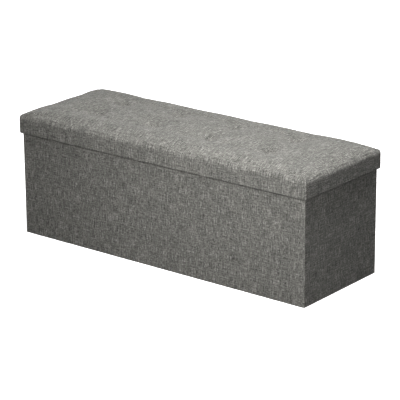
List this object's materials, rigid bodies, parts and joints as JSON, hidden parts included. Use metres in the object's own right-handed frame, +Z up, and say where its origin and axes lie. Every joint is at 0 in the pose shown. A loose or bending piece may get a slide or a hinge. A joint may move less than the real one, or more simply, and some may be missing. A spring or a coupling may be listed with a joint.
{
  "type": "storage bench",
  "caption": "Long fabric-covered box bench with a button-tufted lift-off padded lid over a divided storage space.",
  "frame": {"origin": "on the floor under the middle of the bench", "axes": "+X along the bench, +Y towards its back, +Z up; the front faces -Y"},
  "size_m": [1.1, 0.38, 0.416],
  "materials": {
    "linen_fabric": "heathered warm grey linen-look weave, matt",
    "nonwoven_lining": "black non-woven cloth with pressed dots",
    "black_webbing": "ribbed black tape",
    "fibreboard": "raw medium-density fibreboard",
    "seat_foam": "open-cell polyurethane foam",
    "black_steel": "satin black powder coat",
    "black_plastic": "moulded, fine texture",
    "zinc_steel": "zinc plated"
  },
  "bodies": {
    "box": {"base_cloth": "nonwoven_lining", "front_cover": "linen_fabric", "front_board": "fibreboard", "front_lining": "nonwoven_lining", "back_cover": "linen_fabric", "back_board": "fibreboard", "back_lining": "nonwoven_lining", "left_end_cover": "linen_fabric", "left_end_board_front": "fibreboard", "left_end_board_back": "fibreboard", "left_end_lining": "nonwoven_lining", "right_end_cover": "linen_fabric", "right_end_board_front": "fibreboard", "right_end_board_back": "fibreboard", "right_end_lining": "nonwoven_lining", "rim_binding": "black_webbing"},
    "floor_panel": {"floor_board": "fibreboard", "floor_cover": "nonwoven_lining", "pull_tab_left": "black_webbing", "pull_tab_right": "black_webbing"},
    "divider_frame": {"divider_hoop": "black_steel", "divider_rail": "black_steel", "divider_bar_1": "black_steel", "divider_bar_2": "black_steel", "divider_bar_3": "black_steel", "divider_bar_4": "black_steel", "divider_foot_front": "black_plastic", "divider_foot_back": "black_plastic"},
    "lid": {"lid_board": "fibreboard", "lid_rail_front": "fibreboard", "lid_rail_back": "fibreboard", "lid_rail_left": "fibreboard", "lid_rail_right": "fibreboard", "seat_foam": "seat_foam", "seat_cover": "linen_fabric", "lid_lining": "nonwoven_lining", "tuft_button_1": "linen_fabric", "tuft_button_2": "linen_fabric", "tuft_button_3": "linen_fabric", "tuft_button_4": "linen_fabric", "tuft_button_5": "linen_fabric", "tuft_button_6": "linen_fabric", "tuft_button_7": "linen_fabric", "tuft_button_8": "linen_fabric", "tuft_anchor_1": "zinc_steel", "tuft_anchor_2": "zinc_steel", "tuft_anchor_3": "zinc_steel", "tuft_anchor_4": "zinc_steel", "tuft_anchor_5": "zinc_steel", "tuft_anchor_6": "zinc_steel", "tuft_anchor_7": "zinc_steel", "tuft_anchor_8": "zinc_steel"}
  },
  "joints": [
    {"name": "floor_panel_lift", "type": "slide", "parent": "box", "child": "floor_panel", "axis": [0, 0, 1], "range_m": [0, 0.38]},
    {"name": "divider_frame_lift", "type": "slide", "parent": "floor_panel", "child": "divider_frame", "axis": [0, 0, 1], "range_m": [0, 0.38]},
    {"name": "lid_lift", "type": "slide", "parent": "divider_frame", "child": "lid", "axis": [0, 0, 1], "range_m": [0, 0.35]}
  ]
}
